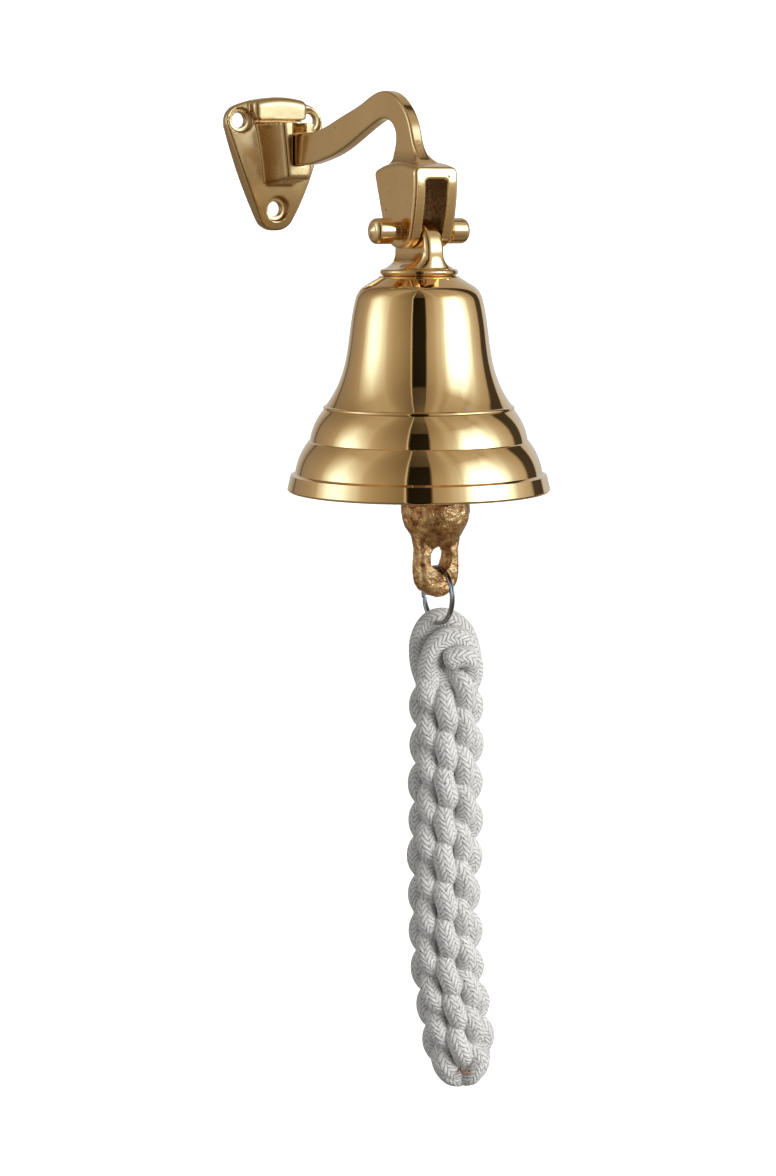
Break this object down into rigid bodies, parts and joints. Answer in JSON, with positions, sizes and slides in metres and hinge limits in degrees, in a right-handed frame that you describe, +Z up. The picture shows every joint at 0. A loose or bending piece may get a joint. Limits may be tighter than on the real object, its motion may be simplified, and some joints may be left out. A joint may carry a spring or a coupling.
{
  "type": "wall-hung service bell",
  "caption": "Brass hand-rung bell on a gooseneck arm that lifts out of a slotted wall plate, with clapper, split ring and braided cord lanyard.",
  "frame": {"origin": "on the wall face, at the middle of the wall plate", "axes": "+X along the wall, +Y into the wall, +Z up; the bell hangs out at -Y"},
  "size_m": [0.102, 0.176, 0.399],
  "materials": {
    "plate_brass": "polished, fine scratches",
    "arm_brass": "polished sand casting with small pits",
    "nut_brass": "bright turned",
    "bell_brass": "polished, faint turning lines",
    "clapper_brass": "rough casting, rubbed bright",
    "ring_steel": "bright steel wire",
    "cotton_cord": "braided cotton cord"
  },
  "bodies": {
    "wall": {"wall_plate": "plate_brass"},
    "arm": {"bracket_arm": "arm_brass", "clevis_bolt": "nut_brass", "dome_nuts": "nut_brass"},
    "bell": {"crown_lug": "arm_brass", "bell_body": "bell_brass", "clapper_hook": "nut_brass", "crown_washer": "nut_brass", "crown_nut": "nut_brass"},
    "link": {"clapper_link": "ring_steel"},
    "clapper": {"clapper": "clapper_brass"},
    "ring": {"split_ring": "ring_steel"},
    "lanyard": {"lanyard_braid": "cotton_cord", "lanyard_eye": "cotton_cord"}
  },
  "joints": [
    {"name": "arm_lift", "type": "slide", "parent": "wall", "child": "arm", "axis": [0, 0, 1], "range_m": [0, 0.018]},
    {"name": "bell_swing", "type": "hinge", "parent": "arm", "child": "bell", "pos_m": [0, -0.125, -0.0266], "axis": [1, 0, 0], "range_deg": [-22, 22]},
    {"name": "link_swing", "type": "hinge", "parent": "bell", "child": "link", "pos_m": [0.0076, -0.125, -0.0716], "axis": [1, 0, 0], "range_deg": [-24, 24]},
    {"name": "clapper_swing", "type": "hinge", "parent": "link", "child": "clapper", "pos_m": [0.0076, -0.125, -0.084], "axis": [0, 1, 0], "range_deg": [-9, 9]},
    {"name": "ring_swing", "type": "hinge", "parent": "clapper", "child": "ring", "pos_m": [0.0088, -0.125, -0.16815], "axis": [1, 0, 0], "range_deg": [-25, 25]},
    {"name": "lanyard_swing", "type": "hinge", "parent": "ring", "child": "lanyard", "pos_m": [0.0088, -0.125, -0.17915], "axis": [0, 1, 0], "range_deg": [-18, 18]}
  ]
}
